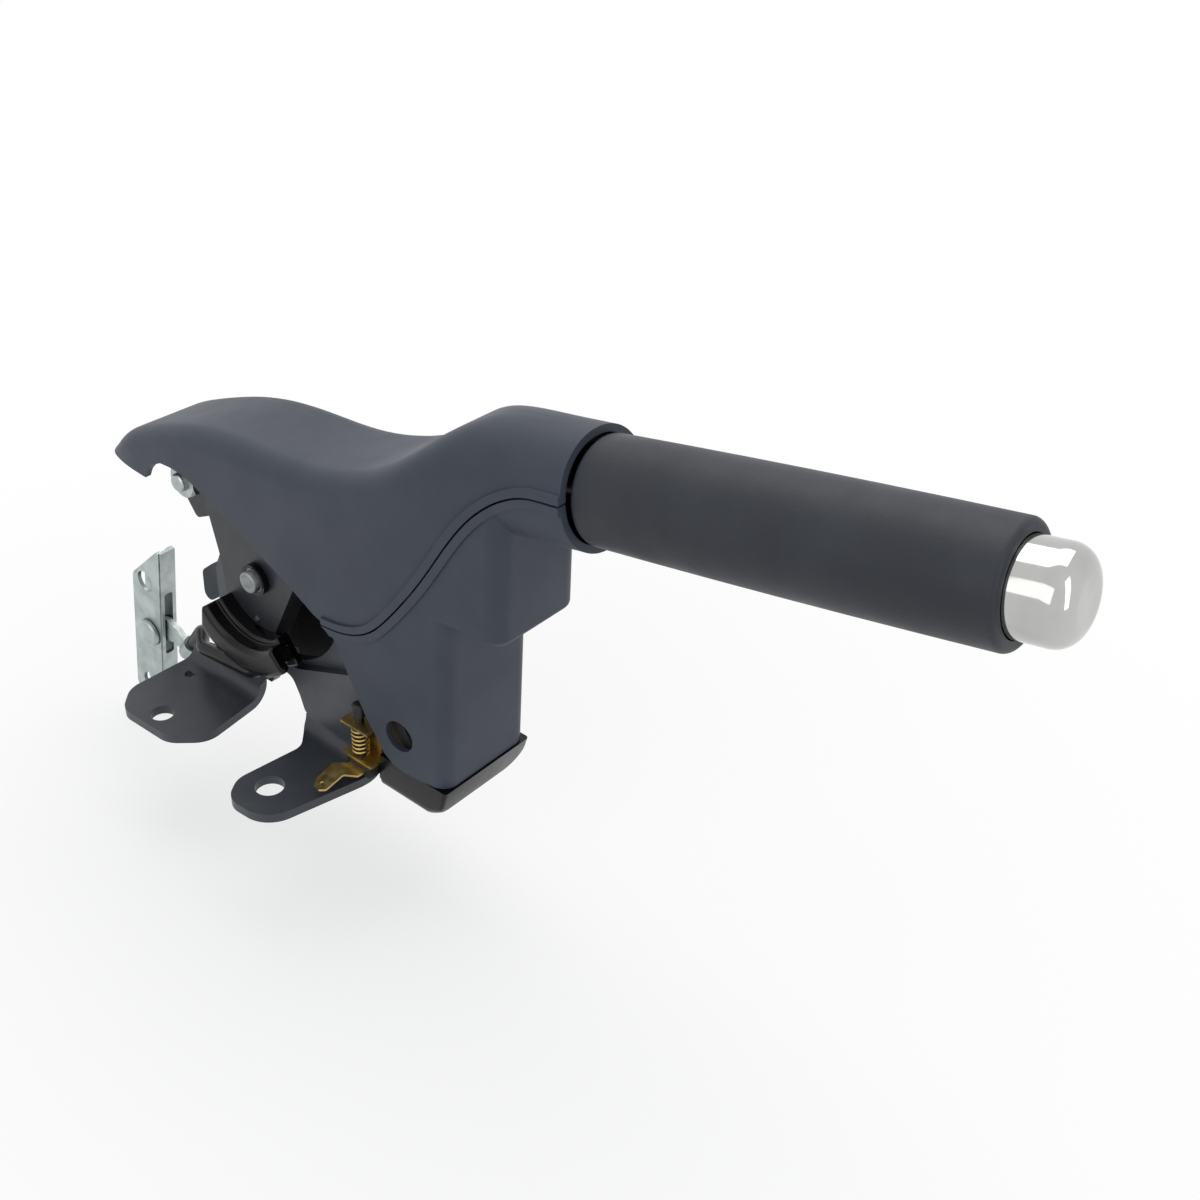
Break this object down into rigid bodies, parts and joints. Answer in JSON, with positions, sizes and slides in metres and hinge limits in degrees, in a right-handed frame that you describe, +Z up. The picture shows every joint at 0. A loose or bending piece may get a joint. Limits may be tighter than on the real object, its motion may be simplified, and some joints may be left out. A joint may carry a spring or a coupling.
{
  "type": "parking brake lever",
  "caption": "Hand parking brake lever on a pressed floor bracket: covered lever with grip and release button, ratchet, cable guide, cable equaliser and warning switch",
  "frame": {"origin": "underside of the bracket's front web on the lever's mid-plane, which rests on the tunnel", "axes": "X along the lever towards the release button, Y across it with the bolt feet on the -Y side, Z up from the seat"},
  "size_m": [0.3712, 0.0832, 0.2209],
  "materials": {
    "cover_plastic": "fine moulded grain",
    "grip_rubber": "smooth satin",
    "button_chrome": "polished",
    "painted_steel": "dark grey electrocoat",
    "tube_steel": "oiled",
    "zinc_steel": "zinc plated",
    "pawl_steel": "hardened, oiled",
    "spring_steel": "drawn wire",
    "gloss_black": "gloss",
    "cable_sleeve": "satin",
    "guide_nylon": "plain",
    "brass_plate": "yellow passivated",
    "switch_dark": "plain"
  },
  "bodies": {
    "bracket": {"floor_bracket": "painted_steel", "pivot_pin": "zinc_steel", "pivot_collar": "gloss_black", "pivot_bush": "tube_steel", "pivot_washer": "zinc_steel", "ratchet_sector": "painted_steel", "front_shoe": "gloss_black", "switch_bracket": "brass_plate", "switch_insulator": "switch_dark", "switch_terminal": "brass_plate", "switch_spring": "brass_plate", "brake_cable": "cable_sleeve", "cable_eye": "zinc_steel"},
    "lever": {"upper_cover": "cover_plastic", "lower_cover": "cover_plastic", "grip_sleeve": "grip_rubber", "lever_tube": "tube_steel", "lever_channel": "painted_steel", "tail_channel": "painted_steel", "tail_bolt": "zinc_steel", "tail_nut": "zinc_steel", "tube_saddle": "painted_steel", "rod_guide_rear": "guide_nylon", "rod_guide_front": "guide_nylon", "button_spring": "spring_steel", "pawl_pin": "zinc_steel", "pawl_spacer_near": "zinc_steel", "pawl_spacer_far": "zinc_steel", "pawl_spring": "spring_steel", "cable_guide": "gloss_black", "guide_rivets": "zinc_steel"},
    "button": {"release_button": "button_chrome", "release_rod": "zinc_steel"},
    "pawl": {"pawl": "pawl_steel"},
    "plunger": {"switch_plunger": "switch_dark"},
    "equaliser": {"equaliser": "zinc_steel", "equaliser_rivet": "zinc_steel"}
  },
  "joints": [
    {"name": "lever_turn", "type": "hinge", "parent": "bracket", "child": "lever", "pos_m": [-0.06, 0, 0.06], "axis": [0, -1, 0], "range_deg": [0, 26]},
    {"name": "button_slide", "type": "slide", "parent": "lever", "child": "button", "axis": [-0.9835, 0, -0.181], "range_m": [0, 0.006], "stiffness_N_per_m": 600, "springref_m": -0.004, "deforming": ["button_spring"]},
    {"name": "pawl_turn", "type": "hinge", "parent": "lever", "child": "pawl", "pos_m": [-0.0098, 0, 0.089], "axis": [0, -1, 0], "range_deg": [0, 6]},
    {"name": "plunger_slide", "type": "slide", "parent": "bracket", "child": "plunger", "axis": [0, 0, -1], "range_m": [0, 0.0027], "stiffness_N_per_m": 200, "springref_m": -0.003, "deforming": ["switch_spring"]},
    {"name": "equaliser_swing", "type": "hinge", "parent": "bracket", "child": "equaliser", "pos_m": [-0.1395, 0, -0.003], "axis": [0, 1, 0], "range_deg": [-8, 8]}
  ],
  "couplings": [
    {"joint": "pawl_turn", "follows": "button_slide", "rad_per_m": 17.45}
  ]
}
